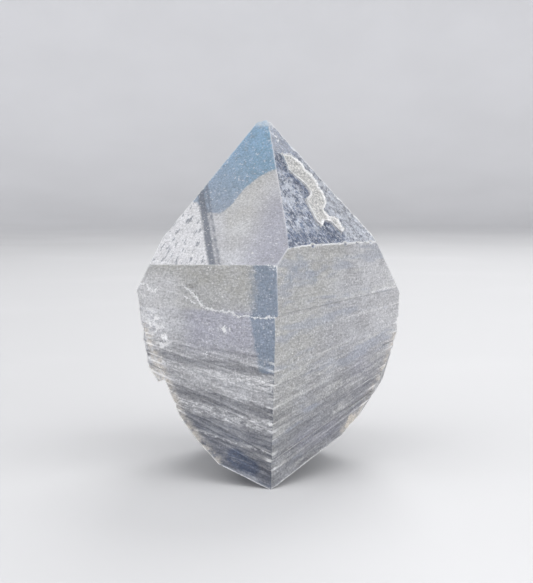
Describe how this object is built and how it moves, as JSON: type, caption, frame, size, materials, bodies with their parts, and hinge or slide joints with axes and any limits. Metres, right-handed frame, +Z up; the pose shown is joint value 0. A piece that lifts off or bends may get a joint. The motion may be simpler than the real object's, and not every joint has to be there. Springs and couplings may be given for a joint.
{
  "type": "indicolite quartz crystal",
  "caption": "Single tapered quartz point, milky blue-grey, with stepped prism faces, a faceted tip, a crusted patch and a broken keeled foot.",
  "frame": {"origin": "centre of the crystal's bounding box in plan, on the plane of the foot flat", "axes": "+Z up, along the height of the standing crystal; -Y towards the viewer of its front edge; +X to the right seen from the front"},
  "size_m": [0.0362, 0.0326, 0.0469],
  "materials": {
    "quartz": "translucent milky blue-grey quartz with satin growth faces, blue near the tip, cream crust on one tip face"
  },
  "bodies": {
    "root": {"quartz_crystal": "quartz"}
  },
  "joints": []
}
